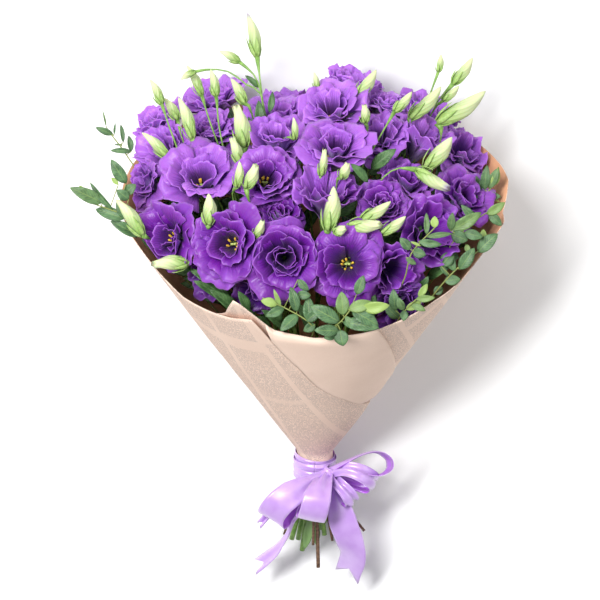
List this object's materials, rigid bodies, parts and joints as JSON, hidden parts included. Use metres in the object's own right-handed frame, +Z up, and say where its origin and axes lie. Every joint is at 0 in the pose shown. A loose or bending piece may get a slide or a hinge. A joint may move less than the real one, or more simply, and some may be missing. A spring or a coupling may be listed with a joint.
{
  "type": "lisianthus bouquet",
  "caption": "Tied bunch of ruffled lisianthus blooms, buds and leafy twigs in a printed paper cone with a satin bow, lying down.",
  "frame": {"origin": "on the surface that the bunch lies on, under the middle of the whole bunch", "axes": "+Z up from the surface, +Y along the bunch from the stem ends to the blooms, +X to the right as seen from above with the blooms away from the viewer"},
  "size_m": [0.3776, 0.5156, 0.2724],
  "materials": {
    "paper": "matt kraft newsprint with small grey print",
    "satin": "lilac satin ribbon",
    "stem": "smooth green stems with pale buds",
    "leaf": "matt grey-green leaves",
    "petal": "soft violet petals, paler at the back"
  },
  "bodies": {
    "root": {"paper_wrap": "paper", "ribbon": "satin", "flowering_stem_01": "stem", "flowering_stem_02": "stem", "flowering_stem_03": "stem", "flowering_stem_04": "stem", "flowering_stem_05": "stem", "flowering_stem_06": "stem", "flowering_stem_07": "stem", "flowering_stem_08": "stem", "flowering_stem_09": "stem", "flowering_stem_10": "stem", "flowering_stem_11": "stem", "flowering_stem_12": "stem", "flowering_stem_13": "stem", "flowering_stem_14": "stem", "twig_front_left": "leaf", "twig_front": "leaf", "twig_front_right": "leaf", "twig_right_low": "leaf", "twig_right_front": "leaf", "twig_right": "leaf", "twig_right_high": "leaf", "twig_left": "leaf", "twig_left_high": "leaf", "bloom_01": "petal", "bloom_02": "petal", "bloom_03": "petal", "bloom_04": "petal", "bloom_05": "petal", "bloom_06": "petal", "bloom_07": "petal", "bloom_08": "petal", "bloom_09": "petal", "bloom_10": "petal", "bloom_11": "petal", "bloom_12": "petal", "bloom_13": "petal", "bloom_14": "petal", "bloom_15": "petal", "bloom_16": "petal", "bloom_17": "petal", "bloom_18": "petal", "bloom_19": "petal", "bloom_20": "petal", "bloom_21": "petal", "bloom_22": "petal", "bloom_23": "petal", "bloom_24": "petal", "bloom_25": "petal", "bloom_26": "petal", "bloom_27": "petal", "bloom_28": "petal", "bloom_29": "petal", "bloom_30": "petal", "bloom_31": "petal", "bloom_32": "petal", "bloom_33": "petal", "bloom_34": "petal"}
  },
  "joints": []
}
